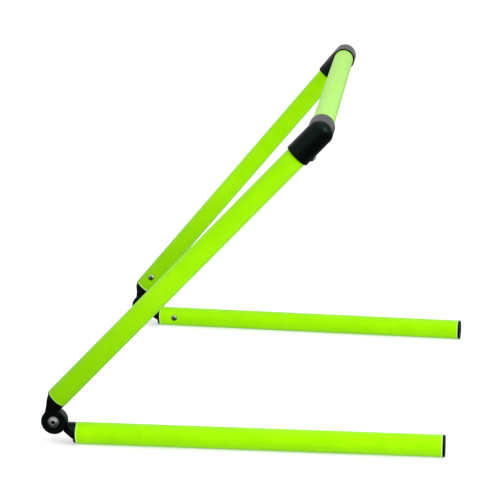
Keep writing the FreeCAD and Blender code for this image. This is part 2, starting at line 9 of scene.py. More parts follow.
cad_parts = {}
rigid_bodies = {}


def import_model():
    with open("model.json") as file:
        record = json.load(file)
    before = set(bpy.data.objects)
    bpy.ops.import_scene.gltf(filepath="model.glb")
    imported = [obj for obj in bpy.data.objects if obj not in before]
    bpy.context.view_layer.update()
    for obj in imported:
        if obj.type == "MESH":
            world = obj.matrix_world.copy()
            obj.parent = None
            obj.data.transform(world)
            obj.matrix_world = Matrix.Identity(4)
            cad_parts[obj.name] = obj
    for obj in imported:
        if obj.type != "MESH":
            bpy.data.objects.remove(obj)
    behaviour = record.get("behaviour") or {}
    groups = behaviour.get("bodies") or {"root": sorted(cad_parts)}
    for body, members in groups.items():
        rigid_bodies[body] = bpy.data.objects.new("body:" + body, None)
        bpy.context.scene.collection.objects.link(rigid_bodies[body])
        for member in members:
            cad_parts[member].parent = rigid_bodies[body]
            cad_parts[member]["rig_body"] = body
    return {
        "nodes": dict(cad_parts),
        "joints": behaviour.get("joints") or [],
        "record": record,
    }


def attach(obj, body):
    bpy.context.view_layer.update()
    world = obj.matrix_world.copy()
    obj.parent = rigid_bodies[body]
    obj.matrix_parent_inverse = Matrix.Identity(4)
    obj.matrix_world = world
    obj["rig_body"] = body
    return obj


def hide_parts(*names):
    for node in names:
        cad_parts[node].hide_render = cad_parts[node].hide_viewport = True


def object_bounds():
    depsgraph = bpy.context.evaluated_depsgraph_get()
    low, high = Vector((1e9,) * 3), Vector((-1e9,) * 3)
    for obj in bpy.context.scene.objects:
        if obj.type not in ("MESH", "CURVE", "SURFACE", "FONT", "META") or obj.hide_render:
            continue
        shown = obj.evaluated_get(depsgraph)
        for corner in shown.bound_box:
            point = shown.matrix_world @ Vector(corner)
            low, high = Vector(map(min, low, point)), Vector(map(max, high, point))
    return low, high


# The looks of the agility hurdle: neon tubes, black moulded fittings and plated fasteners.
# Lengths are in metres, in the CAD model's frame: the right side is at +X and Z is up.

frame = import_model()
cad_low, cad_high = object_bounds()
nodes = frame["nodes"]

MM = 0.001
SIDES = (("right", 1.0), ("left", -1.0))

# sizes shared with the CAD model
DISC_FACE = 6.95 * MM
FACE_PLAY = 0.05 * MM
TUBE_RADIUS = 13.35 * MM
PLUG_FLANGE = 3.0 * MM
PLUG_DEPTH = 18.0 * MM
SKIRT_RADIUS = 11.25 * MM
SCREW_HEAD_HEIGHT = 2.1 * MM
BOLT_HEAD_HEIGHT = 3.3 * MM
NUT_WASHER_THICKNESS = 1.6 * MM

# how near two vertices are to count as one, and how short an edge is to be dropped
SAME_PLACE = 0.002 * MM
NO_LENGTH = 0.0001 * MM
# a profile point nearer to the axis than this is on it
ON_AXIS = 1e-9
# how near a vertex is to a piece's end to count as part of that end
END_REACH = 0.3 * MM
# faces that meet at more than this keep a sharp edge in the shading
SHARP_ANGLE = math.radians(32.0)
# on moulded fittings, faces that meet at less than the first are joined, and edges where they meet
# at more than the second are rounded
FLAT_ANGLE = math.radians(0.4)
EDGE_ANGLE = math.radians(30.0)

joints = {joint["name"]: joint for joint in frame["joints"]}
mounts = {mount["name"]: mount for mount in frame["record"]["mounts"]}


# ------------------------------------------------------------------ meshes

def new_object(name, data):
    """Links a new object that holds a mesh, a light or a camera."""
    made = bpy.data.objects.new(name, data)
    bpy.context.scene.collection.objects.link(made)
    return made


def smooth(mesh):
    """Smooth shading that keeps the sharp edges."""
    for face in mesh.polygons:
        face.use_smooth = True
    mesh.set_sharp_from_angle(angle=SHARP_ANGLE)


def lathe(name, profile, segments, ripple=None):
    """A closed mesh turned about Z from (radius, height) points, in order round the section.

    ripple(radius, height, turn) gives the radius at a turn from 0 to 1, for a thread or a hexagon.
    """
    verts = []
    faces = []
    rings = []
    for radius, height in profile:
        if radius < ON_AXIS:
            rings.append([len(verts)])
            verts.append((0.0, 0.0, height))
            continue
        ring = []
        for step in range(segments):
            turn = step / segments
            angle = 2 * math.pi * turn
            reach = ripple(radius, height, turn) if ripple else radius
            ring.append(len(verts))
            verts.append((reach * math.cos(angle), reach * math.sin(angle), height))
        rings.append(ring)
    closed = len(rings[0]) > 1 and len(rings[-1]) > 1
    pairs = list(zip(rings, rings[1:]))
    if closed:
        pairs.append((rings[-1], rings[0]))
    for first, second in pairs:
        for step in range(segments):
            after = (step + 1) % segments
            if len(first) == 1:
                faces.append((first[0], second[step], second[after]))
            elif len(second) == 1:
                faces.append((first[step], second[0], first[after]))
            else:
                faces.append((first[step], second[step], second[after], first[after]))
    mesh = bpy.data.meshes.new(name)
    mesh.from_pydata(verts, [], faces)
    outward_faces(mesh)
    smooth(mesh)
    return mesh


def outward_faces(mesh):
    """Makes all faces look outward."""
    work = bmesh.new()
    work.from_mesh(mesh)
    bmesh.ops.recalc_face_normals(work, faces=work.faces)
    work.to_mesh(mesh)
    work.free()


def rounded(start, corner, end, steps):
    """Points of a soft corner between two points of a profile."""
    points = []
    for step in range(steps + 1):
        share = step / steps
        keep = (1 - share) ** 2
        middle = 2 * share * (1 - share)
        reach = share ** 2
        points.append((
            keep * start[0] + middle * corner[0] + reach * end[0],
            keep * start[1] + middle * corner[1] + reach * end[1],
        ))
    return points


def prism_mesh(name, low_corners, high_corners, low, high):
    """A solid between two outlines with the same number of corners, at two heights."""
    count = len(low_corners)
    verts = [(x, y, low) for x, y in low_corners] + [(x, y, high) for x, y in high_corners]
    faces = [tuple(reversed(range(count))), tuple(range(count, 2 * count))]
    for index in range(count):
        after = (index + 1) % count
        faces.append((index, after, count + after, count + index))
    mesh = bpy.data.meshes.new(name)
    mesh.from_pydata(verts, [], faces)
    outward_faces(mesh)
    return mesh


def polygon(corner_radius, sides):
    """Corners of a regular polygon about the origin."""
    corners = []
    for index in range(sides):
        angle = 2 * math.pi * index / sides
        corners.append((corner_radius * math.cos(angle), corner_radius * math.sin(angle)))
    return corners


def cut_away(mesh, cutters):
    """A new mesh: the given one with others cut out of it."""
    base = new_object(mesh.name + "_base", mesh)
    helpers = []
    for number, cutter in enumerate(cutters):
        helper = new_object("%s_helper_%d" % (mesh.name, number), cutter)
        helpers.append(helper)
        step = base.modifiers.new("step_%d" % number, "BOOLEAN")
        step.operation = "DIFFERENCE"
        step.solver = "EXACT"
        step.object = helper
    graph = bpy.context.evaluated_depsgraph_get()
    result = bpy.data.meshes.new_from_object(base.evaluated_get(graph))
    for helper in [base] + helpers:
        bpy.data.objects.remove(helper)
    work = bmesh.new()
    work.from_mesh(result)
    mend(work)
    work.to_mesh(result)
    work.free()
    smooth(result)
    return result


def mend(work):
    """Joins vertices that coincide, removes faces without area and closes small holes."""
    bmesh.ops.remove_doubles(work, verts=work.verts, dist=SAME_PLACE)
    bmesh.ops.dissolve_degenerate(work, edges=work.edges, dist=NO_LENGTH)
    crowded = [face for face in work.faces if len(face.verts) > 4]
    bmesh.ops.triangulate(work, faces=crowded)
    bmesh.ops.dissolve_degenerate(work, edges=work.edges, dist=NO_LENGTH)
    open_edges = [edge for edge in work.edges if edge.is_boundary]
    bmesh.ops.holes_fill(work, edges=open_edges, sides=4)


def softened(node, width):
    """A CAD node's mesh with its sharp edges rounded to a width, as moulding leaves them."""
    work = bmesh.new()
    work.from_mesh(nodes[node].data)
    bmesh.ops.remove_doubles(work, verts=work.verts, dist=SAME_PLACE)
    bmesh.ops.dissolve_limit(work, angle_limit=FLAT_ANGLE, verts=work.verts, edges=work.edges)
    edges = []
    for edge in work.edges:
        if len(edge.link_faces) == 2 and edge.calc_face_angle(0.0) > EDGE_ANGLE:
            edges.append(edge)
    bmesh.ops.bevel(work, geom=edges, offset=width, segments=3, profile=0.5, affect="EDGES",
                    clamp_overlap=True, miter_outer="SHARP")
    mend(work)
    mesh = bpy.data.meshes.new(node + "_soft")
    work.to_mesh(mesh)
    work.free()
    smooth(mesh)
    return evenly_shaded(mesh)


def evenly_shaded(mesh):
    """The same mesh with normals that follow its large faces, so that long strips don't crease."""
    base = new_object(mesh.name + "_base", mesh)
    weigh = base.modifiers.new("even", "WEIGHTED_NORMAL")
    weigh.mode = "FACE_AREA"
    weigh.weight = 50
    weigh.keep_sharp = True
    graph = bpy.context.evaluated_depsgraph_get()
    result = bpy.data.meshes.new_from_object(base.evaluated_get(graph))
    bpy.data.objects.remove(base)
    return result


# ------------------------------------------------------------------ where things are

def points_of(node):
    """A CAD node's vertices as rows of numbers."""
    return np.array([vertex.co for vertex in nodes[node].data.vertices], float)


def axis_of(node):
    """(middle, direction, length) of a turned node, from the centres of its two ends.

    The first guess at the direction leans to where vertices crowd. On the uprights it is 1 degree off,
    so only part of each end is within reach, and the result is up to 1.8 degrees off. The other tubes
    come out within 0.3 degrees, and the screws within 0.1.
    """
    spots = points_of(node)
    centre = spots.mean(0)
    # the spread along the axis differs from the two across it, which are alike
    values, vectors = np.linalg.eigh(np.cov((spots - centre).T))
    odd = 2 if abs(values[2] - values[1]) > abs(values[1] - values[0]) else 0
    direction = vectors[:, odd]
    height = (spots - centre) @ direction
    low_end = spots[height < height.min() + END_REACH].mean(0)
    high_end = spots[height > height.max() - END_REACH].mean(0)
    span = Vector(high_end - low_end)
    return Vector(0.5 * (low_end + high_end)), span.normalized(), span.length


def stand(origin, axis):
    """A matrix whose Z axis is along a direction, at an origin."""
    rise = Vector(axis).normalized()
    about = Vector((0, 0, 1)) if abs(rise.z) < 0.9 else Vector((0, 1, 0))
    side = about.cross(rise).normalized()
    front = rise.cross(side)
    turn = Matrix((side, front, rise)).transposed()
    return Matrix.Translation(origin) @ turn.to_4x4()


def add_piece(name, mesh, matrix, node, material):
    """A new piece that rides with a CAD node's body."""
    piece = new_object(name, mesh)
    piece.matrix_world = matrix
    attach(piece, nodes[node]["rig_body"])
    if not mesh.materials:
        mesh.materials.append(material)
    return piece


def stand_in(name, mesh, matrix, node, material):
    """A new piece that stands for a CAD node and rides with that node's body."""
    piece = add_piece(name, mesh, matrix, node, material)
    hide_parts(node)


def dress(node, material):
    """Gives a CAD node that stays in view its material."""
    mesh = nodes[node].data
    mesh.materials.clear()
    mesh.materials.append(material)


# ------------------------------------------------------------------ materials

def new_material(name):
    """A material, its principled shader, and functions that add a node and link to the shader."""
    material = bpy.data.materials.new(name)
    material.use_nodes = True
    tree = material.node_tree
    shader = tree.nodes["Principled BSDF"]

    def add(kind, inputs=None, **settings):
        node = tree.nodes.new(kind)
        for key, value in settings.items():
            setattr(node, key, value)
        for key, value in (inputs or {}).items():
            if isinstance(value, bpy.types.NodeSocket):
                tree.links.new(value, node.inputs[key])
            else:
                node.inputs[key].default_value = value
        return node

    def link(output, key):
        tree.links.new(output, shader.inputs[key])

    return material, shader, add, link


def ramp(add, factor, low, high):
    """Black up to a low value of a factor, and white from a high one on."""
    made = add("ShaderNodeValToRGB", {"Fac": factor})
    black, white = made.color_ramp.elements
    black.position = low
    white.position = high
    return made.outputs["Color"]


def noise(add, vector, scale, detail, rough=0.5):
    """The plain factor of a noise texture."""
    made = add("ShaderNodeTexNoise", {
        "Vector": vector, "Scale": scale, "Detail": detail, "Roughness": rough})
    return made.outputs["Fac"]


def mixed(add, factor, first, second, blend="MIX"):
    """A mix of two colours."""
    made = add("ShaderNodeMix", data_type="RGBA", blend_type=blend)
    tree = made.id_data
    for index, value in ((0, factor), (6, first), (7, second)):
        if isinstance(value, bpy.types.NodeSocket):
            tree.links.new(value, made.inputs[index])
        else:
            made.inputs[index].default_value = value if index == 0 else (*value, 1)
    return made.outputs[2]


def value_range(add, value, low, high, from_low=0.0, from_high=1.0):
    """A value mapped to the range from low to high, and held there."""
    made = add("ShaderNodeMapRange", {
        "Value": value, "From Min": from_low, "From Max": from_high, "To Min": low, "To Max": high})
    return made.outputs["Result"]


def total(add, first, second):
    """The sum of two values."""
    return add("ShaderNodeMath", {0: first, 1: second}, operation="ADD").outputs[0]


# linear colours
NEON = (0.335, 0.785, 0.0007)
NEON_DEEP = (0.270, 0.690, 0.0005)
# dark colour shared by the tubes' grimy specks and the painted shade at the uprights' ends
NEON_GRIME_AND_SHADE = (0.115, 0.330, 0.0010)
NEON_SCUFF = (0.44, 0.80, 0.045)
# pale colour of the painted highlight at the tubes' cut ends
NEON_CUT_HIGHLIGHT = (0.66, 0.90, 0.36)
# near-white colour of the painted reflection on the crossbar
NEON_PAINTED_SHEEN = (0.95, 1.0, 0.85)
NEON_GLOSS = (0.50, 1.0, 0.05)
BLACK = (0.0010, 0.0014, 0.0012)
BLACK_PALE = (0.0020, 0.0028, 0.0024)
BLACK_DUST = (0.10, 0.11, 0.10)
BLACK_GLOSS = (0.50, 1.0, 0.80)
ZINC = (0.56, 0.58, 0.56)
BRIGHT_ZINC = (0.62, 0.64, 0.62)
SCREW_ZINC = (0.46, 0.56, 0.40)
# dark colour of the painted shade inside the sockets of bolts and screws
SOCKET_PAINTED_SHADE = (0.012, 0.013, 0.012)
NYLON = (0.56, 0.56, 0.50)
NYLON_PALE = (0.68, 0.68, 0.63)
FLOOR_GREY = (0.545, 0.545, 0.545)
FLOOR_PALE = (0.555, 0.555, 0.555)
WHITE = (1.0, 1.0, 1.0)

# how much painted shade darkens an upright towards its low end and towards its top end
LOW_END_PAINTED_SHADE = 0.55
TOP_END_PAINTED_SHADE = 0.14
# how much painted reflection pales the crossbar's colour
CROSSBAR_PAINTED_SHEEN = 0.08
# how strongly a painted highlight lightens the cut end of a tube, how far in that begins, and over what
# length it grows
CUT_PAINTED_HIGHLIGHT = 0.75
CUT_REACH = 1.5 * MM
CUT_BLEND = 0.5 * MM
# scales of a texture that is stretched along a tube, and of one whose scrapes lie at a slant
ALONG_SCALE = (900, 900, 5)
SCRAPE_SCALE = (340, 1300, 60)
SCRAPE_TURN = (0.3, 0.2, 0.9)


def neon_tube(node):
    """Extruded tube: fine lines along its length, a slight mottle, specks, and a few scuffs."""
    centre, direction, length = axis_of(node)
    turn = stand(centre, direction if direction.z > 0 else -direction).inverted()
    material, shader, add, link = new_material("neon_" + node)
    spot = add("ShaderNodeTexCoord").outputs["Object"]
    own = add("ShaderNodeMapping", {
        "Vector": spot,
        "Location": turn.to_translation(),
        "Rotation": turn.to_euler(),
    }).outputs["Vector"]
    along = add("ShaderNodeMapping", {"Vector": own, "Scale": ALONG_SCALE}).outputs["Vector"]
    lines = ramp(add, noise(add, along, 1.0, 3.0, 0.6), 0.36, 0.66)
    mottle = noise(add, own, 42.0, 4.0, 0.55)
    patch = noise(add, own, 9.0, 2.0)
    scrape = add("ShaderNodeMapping", {
        "Vector": own, "Rotation": SCRAPE_TURN, "Scale": SCRAPE_SCALE}).outputs["Vector"]
    scuff = ramp(add, noise(add, scrape, 1.0, 3.0, 0.6), 0.57, 0.64)
    where = ramp(add, noise(add, own, 30.0, 2.0), 0.52, 0.64)
    specks = ramp(add, noise(add, own, 700.0, 2.0), 0.70, 0.78)
    worn = mixed(add, 1.0, scuff, where, "MULTIPLY")
    base = mixed(add, ramp(add, mottle, 0.30, 0.72), NEON_DEEP, NEON)
    base = mixed(add, value_range(add, patch, 0.0, 0.35), base, NEON)
    base = mixed(add, value_range(add, lines, 0.0, 0.45), base, NEON_DEEP)
    base = mixed(add, value_range(add, specks, 0.0, 0.35), base, NEON_GRIME_AND_SHADE)
    base = mixed(add, value_range(add, worn, 0.0, 0.32), base, NEON_SCUFF)
    height = add("ShaderNodeSeparateXYZ", {"Vector": own}).outputs["Z"]
    # painted shade: an upright's colour is darkened towards its low end, and a little towards its top,
    # standing in for how the light falls off along it
    if node.startswith("upright"):
        low_end = value_range(add, height, LOW_END_PAINTED_SHADE, 0.0, -0.5 * length, 0.0)
        top_end_painted_shade = value_range(add, height, 0.0, TOP_END_PAINTED_SHADE, 0.0, 0.5 * length)
        base = mixed(add, low_end, base, NEON_GRIME_AND_SHADE)
        base = mixed(add, top_end_painted_shade, base, NEON_GRIME_AND_SHADE)
    # painted reflection: the crossbar's colour is mixed a little towards white, standing in for the
    # bright surroundings it reflects at a grazing angle
    if node == "crossbar_tube":
        base = mixed(add, CROSSBAR_PAINTED_SHEEN, base, NEON_PAINTED_SHEEN)
    # painted highlight: the colour is lightened near each end of the tube, standing in for light caught
    # by the rounded edge of the cut end
    from_middle = add("ShaderNodeMath", {0: height}, operation="ABSOLUTE").outputs[0]
    cut_start = 0.5 * length - CUT_REACH
    cut_edge_highlight = value_range(add, from_middle, 0.0, CUT_PAINTED_HIGHLIGHT, cut_start, cut_start + CUT_BLEND)
    base = mixed(add, cut_edge_highlight, base, NEON_CUT_HIGHLIGHT)
    link(base, "Base Color")
    link(total(add, value_range(add, mottle, 0.30, 0.42), value_range(add, worn, 0.0, 0.25)), "Roughness")
    relief = total(add, value_range(add, lines, 0.0, 0.6), value_range(add, mottle, 0.0, 0.8))
    bump = add("ShaderNodeBump", {"Height": relief, "Strength": 0.25, "Distance": 0.15 * MM})
    link(bump.outputs["Normal"], "Normal")
    shader.inputs["Specular IOR Level"].default_value = 0.50 if node == "crossbar_tube" else 0.34
    shader.inputs["Specular Tint"].default_value = (*NEON_GLOSS, 1)
    return material


def black_plastic(name):
    """Moulded black nylon: fine grain, softly varying gloss, and a little dust."""
    material, shader, add, link = new_material(name)
    spot = add("ShaderNodeTexCoord").outputs["Object"]
    fine = noise(add, spot, 1100.0, 3.0, 0.6)
    cloud = noise(add, spot, 70.0, 3.0)
    dust = ramp(add, noise(add, spot, 420.0, 4.0, 0.65), 0.62, 0.78)
    base = mixed(add, cloud, BLACK, BLACK_PALE)
    base = mixed(add, value_range(add, dust, 0.0, 0.02), base, BLACK_DUST)
    link(base, "Base Color")
    link(value_range(add, cloud, 0.26, 0.36), "Roughness")
    bump = add("ShaderNodeBump", {"Height": fine, "Strength": 0.40, "Distance": 0.22 * MM})
    link(bump.outputs["Normal"], "Normal")
    shader.inputs["Specular IOR Level"].default_value = 0.14
    shader.inputs["Specular Tint"].default_value = (*BLACK_GLOSS, 1)
    return material


def plated_steel(name, bright, rough_low, rough_high, mottled, recess=None):
    """Zinc-plated steel: crystalline mottle, fine turning marks, and duller patches.

    mottled is how much darker its dull patches are, from 0 to 1. recess is (radius, height) of a
    socket in the top of the head, whose inside is darkened with painted shade.
    """
    material, shader, add, link = new_material(name)
    spot = add("ShaderNodeTexCoord").outputs["Object"]
    spangle = add("ShaderNodeTexVoronoi", {"Vector": spot, "Scale": 900.0}).outputs["Distance"]
    cloud = noise(add, spot, 520.0, 4.0, 0.6)
    rings = add("ShaderNodeTexWave", {"Vector": spot, "Scale": 900.0, "Distortion": 1.5, "Detail": 2.0},
                wave_type="RINGS", rings_direction="Z").outputs["Fac"]
    dark = tuple(channel * (1 - mottled) for channel in bright)
    base = mixed(add, ramp(add, cloud, 0.35, 0.68), dark, bright)
    base = mixed(add, value_range(add, spangle, 0.0, 0.25), base, dark)
    # painted shade: the inside of the socket is darkened, standing in for the shade that falls in the
    # recess
    if recess:
        radius, height = recess
        apart = add("ShaderNodeSeparateXYZ", {"Vector": spot}).outputs
        flat = add("ShaderNodeCombineXYZ", {"X": apart["X"], "Y": apart["Y"]}).outputs["Vector"]
        reach = add("ShaderNodeVectorMath", {0: flat}, operation="LENGTH").outputs["Value"]
        within = value_range(add, reach, 1.0, 0.0, radius, radius + 0.1 * MM)
        under = value_range(add, apart["Z"], 1.0, 0.0, height - 0.35 * MM, height - 0.1 * MM)
        above = value_range(add, apart["Z"], 0.0, 1.0, 0.0, 0.1 * MM)
        inside = mixed(add, 1.0, mixed(add, 1.0, within, under, "MULTIPLY"), above, "MULTIPLY")
        base = mixed(add, inside, base, SOCKET_PAINTED_SHADE)
    link(base, "Base Color")
    link(value_range(add, cloud, rough_high, rough_low, 0.3, 0.7), "Roughness")
    relief = mixed(add, 0.4, cloud, rings)
    bump = add("ShaderNodeBump", {"Height": relief, "Strength": 0.3, "Distance": 0.05 * MM})
    link(bump.outputs["Normal"], "Normal")
    shader.inputs["Metallic"].default_value = 1.0
    return material


def nylon(name):
    """Natural nylon: milky white, slightly yellowed, satin."""
    material, shader, add, link = new_material(name)
    spot = add("ShaderNodeTexCoord").outputs["Object"]
    cloud = noise(add, spot, 300.0, 3.0)
    link(mixed(add, cloud, NYLON, NYLON_PALE), "Base Color")
    link(value_range(add, cloud, 0.38, 0.52), "Roughness")
    bump = add("ShaderNodeBump", {"Height": cloud, "Strength": 0.15, "Distance": 0.08 * MM})
    link(bump.outputs["Normal"], "Normal")
    shader.inputs["Specular IOR Level"].default_value = 0.4
    return material


def pale_floor(name):
    """A plain pale studio floor, lit from below as a light table is, so that shadows stay faint."""
    material, shader, add, link = new_material(name)
    spot = add("ShaderNodeTexCoord").outputs["Object"]
    cloud = noise(add, spot, 3.0, 2.0)
    link(mixed(add, cloud, FLOOR_GREY, FLOOR_PALE), "Base Color")
    shader.inputs["Emission Color"].default_value = (*WHITE, 1)
    shader.inputs["Emission Strength"].default_value = 0.48
    shader.inputs["Roughness"].default_value = 0.9
    shader.inputs["Specular IOR Level"].default_value = 0.0
    return material


# radii within which the sockets of bolts and screws are darkened with painted shade
BOLT_SOCKET_SHADE = 2.35 * MM
SCREW_SOCKET_SHADE = 2.3 * MM

plastic = black_plastic("moulded_nylon")
bolt_steel = plated_steel("bolt_zinc", ZINC, 0.34, 0.52, 0.55)
head_steel = plated_steel("bolt_head_zinc", BRIGHT_ZINC, 0.34, 0.52, 0.55, (BOLT_SOCKET_SHADE, BOLT_HEAD_HEIGHT))
screw_steel = plated_steel("screw_zinc", SCREW_ZINC, 0.34, 0.50, 0.35, (SCREW_SOCKET_SHADE, SCREW_HEAD_HEIGHT))
white_nylon = nylon("natural_nylon")

for node in nodes:
    if "tube" in node:
        dress(node, neon_tube(node))
    elif node.startswith("friction_washer"):
        dress(node, white_nylon)
    elif node.startswith("nut_washer"):
        dress(node, bolt_steel)

# ------------------------------------------------------------------ moulded fittings

FITTING_EDGE = 0.35 * MM
FITTINGS = ("elbow_right", "elbow_left", "hinge_upper", "hinge_lower")

for node in nodes:
    if node.startswith(FITTINGS):
        soft_mesh = softened(node, FITTING_EDGE)
        stand_in(node + "_moulding", soft_mesh, Matrix.Identity(4), node, plastic)

# ------------------------------------------------------------------ foot plugs

PLUG_FACE = -PLUG_FLANGE
PLUG_DISH = 0.45 * MM
DISH_RADIUS = 6.6 * MM
PLUG_EDGE = 1.3 * MM
PLUG_CHAMFER = 0.15 * MM
RIB_COUNT = 3
RIB_START = 3.0 * MM
RIB_PITCH = 4.5 * MM
RIB_DEPTH = 0.35 * MM
GROOVE_END = 2.0 * MM
SLOPE_END = 2.6 * MM
RIB_END = 3.6 * MM
SKIRT_WALL = 2.0 * MM


def plug_mesh():
    """A turned plug: a dished face with a round edge, and a ribbed skirt that goes into the tube.

    Z = 0 is the tube's end, and the skirt goes up.
    """
    profile = [(0.0, PLUG_FACE + PLUG_DISH), (DISH_RADIUS, PLUG_FACE + PLUG_DISH)]
    profile += rounded(
        (DISH_RADIUS + 0.4 * MM, PLUG_FACE + 0.35 * MM),
        (DISH_RADIUS + 0.7 * MM, PLUG_FACE),
        (DISH_RADIUS + 1.4 * MM, PLUG_FACE), 4)
    profile += rounded(
        (TUBE_RADIUS - PLUG_EDGE, PLUG_FACE),
        (TUBE_RADIUS, PLUG_FACE),
        (TUBE_RADIUS, PLUG_FACE + PLUG_EDGE), 7)
    profile += [(TUBE_RADIUS, -PLUG_CHAMFER), (TUBE_RADIUS - PLUG_CHAMFER, 0.0), (SKIRT_RADIUS, 0.0)]
    for rib in range(RIB_COUNT):
        start = RIB_START + rib * RIB_PITCH
        profile += [
            (SKIRT_RADIUS - RIB_DEPTH, start),
            (SKIRT_RADIUS - RIB_DEPTH, start + GROOVE_END),
            (SKIRT_RADIUS, start + SLOPE_END),
            (SKIRT_RADIUS, start + RIB_END),
        ]
    profile += [
        (SKIRT_RADIUS - 0.6 * MM, PLUG_DEPTH),
        (SKIRT_RADIUS - SKIRT_WALL, PLUG_DEPTH),
        (SKIRT_RADIUS - SKIRT_WALL, 0.0),
        (0.0, 0.0),
    ]
    return lathe("foot_plug_turned", profile, 128)


foot_plug = plug_mesh()
for side, _ in SIDES:
    end = mounts[side + "_foot_end"]
    outward = Vector(end["axis"]).normalized()
    plug_stand = stand(Vector(end["pos_m"]) - outward * PLUG_FLANGE, -outward)
    plug_node = "foot_plug_" + side
    stand_in(plug_node + "_moulding", foot_plug, plug_stand, plug_node, plastic)

# ------------------------------------------------------------------ screws

HEAD_RADIUS = 4.4 * MM
SHANK_RADIUS = 2.0 * MM
SCREW_LENGTH = 12.0 * MM
SCREW_THREAD = 0.45 * MM
SCREW_PITCH = 1.6 * MM
SCREW_POINT = 3.4 * MM
SCREW_THREAD_START = -0.4 * MM
# how much lower the head's dome is at its rim, as a share of its height, and how steeply it gets there
DOME_DROP = 0.62
DOME_POWER = 3.4
# how far the cross recess of the first screw is turned, and each further one more, in radians
FIRST_TWIST = 0.35
TWIST_STEP = 1.1
# the cross recess: half lengths and half widths of its blades at the top and at the bottom
BLADE_TOP = (2.25 * MM, 0.55 * MM)
BLADE_LOW = (0.85 * MM, 0.34 * MM)
RECESS_DEPTH = 1.5 * MM


def blade_corners(half_length, half_width, crossways):
    """Corners of one blade of the cross recess, along X or crossways."""
    corners = []
    for along, across in ((-1, -1), (1, -1), (1, 1), (-1, 1)):
        corner = (along * half_length, across * half_width)
        corners.append((-corner[1], corner[0]) if crossways else corner)
    return corners


def pan_head_screw():
    """A pan-head screw with a cross recess, its head from Z = 0 up."""
    profile = []
    for step in range(11):
        share = step / 10
        height = SCREW_HEAD_HEIGHT * (1 - DOME_DROP * share ** DOME_POWER)
        profile.append((HEAD_RADIUS * 0.97 * share, height))
    profile += rounded(
        (HEAD_RADIUS * 0.985, 0.34 * SCREW_HEAD_HEIGHT),
        (HEAD_RADIUS, 0.2 * SCREW_HEAD_HEIGHT),
        (HEAD_RADIUS, 0.12 * SCREW_HEAD_HEIGHT), 3)
    profile += [(HEAD_RADIUS - 0.08 * MM, 0.0), (SHANK_RADIUS, 0.0)]
    rows = 48
    thread_length = SCREW_LENGTH - SCREW_POINT
    for row in range(rows):
        height = SCREW_THREAD_START - thread_length * row / rows
        profile.append((SHANK_RADIUS - SCREW_THREAD, height))
    profile += [(0.5 * MM, -SCREW_LENGTH + 0.8 * MM), (0.0, -SCREW_LENGTH)]

    def ripple(radius, height, turn):
        if height > SCREW_THREAD_START + 0.1 * MM or radius < SHANK_RADIUS - 1.2 * SCREW_THREAD:
            return radius
        phase = (height / SCREW_PITCH - turn) % 1.0
        return radius + SCREW_THREAD * max(0.0, 1 - 3.2 * abs(phase - 0.5))

    body = lathe("pan_head_screw", profile, 64, ripple)
    blades = []
    for crossways in (False, True):
        low = blade_corners(*BLADE_LOW, crossways)
        top = blade_corners(*BLADE_TOP, crossways)
        blades.append(prism_mesh("blade", low, top, SCREW_HEAD_HEIGHT - RECESS_DEPTH,
                                 SCREW_HEAD_HEIGHT + 0.1 * MM))
    return cut_away(body, blades)


screw_mesh = pan_head_screw()
for number, node in enumerate(sorted(name for name in nodes if "screw" in name)):
    centre, direction, _ = axis_of(node)
    spots = points_of(node) - np.array(centre)
    height = spots @ np.array(direction)
    radius = np.linalg.norm(spots - np.outer(height, np.array(direction)), axis=1)
    # only the head is wider than the shank, so it tells which way the screw points
    if height[radius > 0.8 * HEAD_RADIUS].mean() < 0:
        direction = -direction
        height = -height
    base = centre + direction * (float(height.max()) - SCREW_HEAD_HEIGHT)
    twist = Matrix.Rotation(FIRST_TWIST + TWIST_STEP * number, 4, "Z")
    screw_stand = stand(base, direction) @ twist
    stand_in(node + "_threaded", screw_mesh, screw_stand, node, screw_steel)

# ------------------------------------------------------------------ bolts and nuts

FLANGE_RADIUS = 6.8 * MM
FLANGE_HEIGHT = 0.9 * MM
BOLT_HEAD_RADIUS = 5.3 * MM
BOLT_RADIUS = 3.0 * MM
BOLT_LENGTH = 23.6 * MM
BOLT_PITCH = 1.0 * MM
BOLT_THREAD = 0.5 * MM
BOLT_PLAIN_END = -13.0 * MM
BOLT_THREAD_START = BOLT_PLAIN_END - 0.3 * MM
BOLT_THREAD_END = -BOLT_LENGTH + 0.6 * MM
BOLT_THREAD_FADE = 1.2 * MM
SOCKET_FLAT = 2.0 * MM
SOCKET_DEPTH = 2.0 * MM
SOCKET_MOUTH = 2.62 * MM
CROWN_RADIUS = 2.2 * MM
CROWN_BASE = FLANGE_HEIGHT + 0.35 * MM
NUT_RADIUS = 5.77 * MM
NUT_FLAT = 5.0 * MM
NUT_HEIGHT = 4.4 * MM
NUT_COLLAR_RADIUS = 4.5 * MM
NUT_COLLAR_HEIGHT = 1.6 * MM
NUT_COLLAR_EDGE = 0.9 * MM


def hexagon_reach(flat, turn):
    """How far a hexagon with a given half width reaches at a turn from 0 to 1."""
    along_side = (6 * turn) % 1.0 - 0.5
    return flat / math.cos(along_side * math.pi / 3)


def between(start, end, steps):
    """Points after a start and up to an end, evenly spaced."""
    points = []
    for step in range(1, steps + 1):
        share = step / steps
        points.append((start[0] + share * (end[0] - start[0]), start[1] + share * (end[1] - start[1])))
    return points


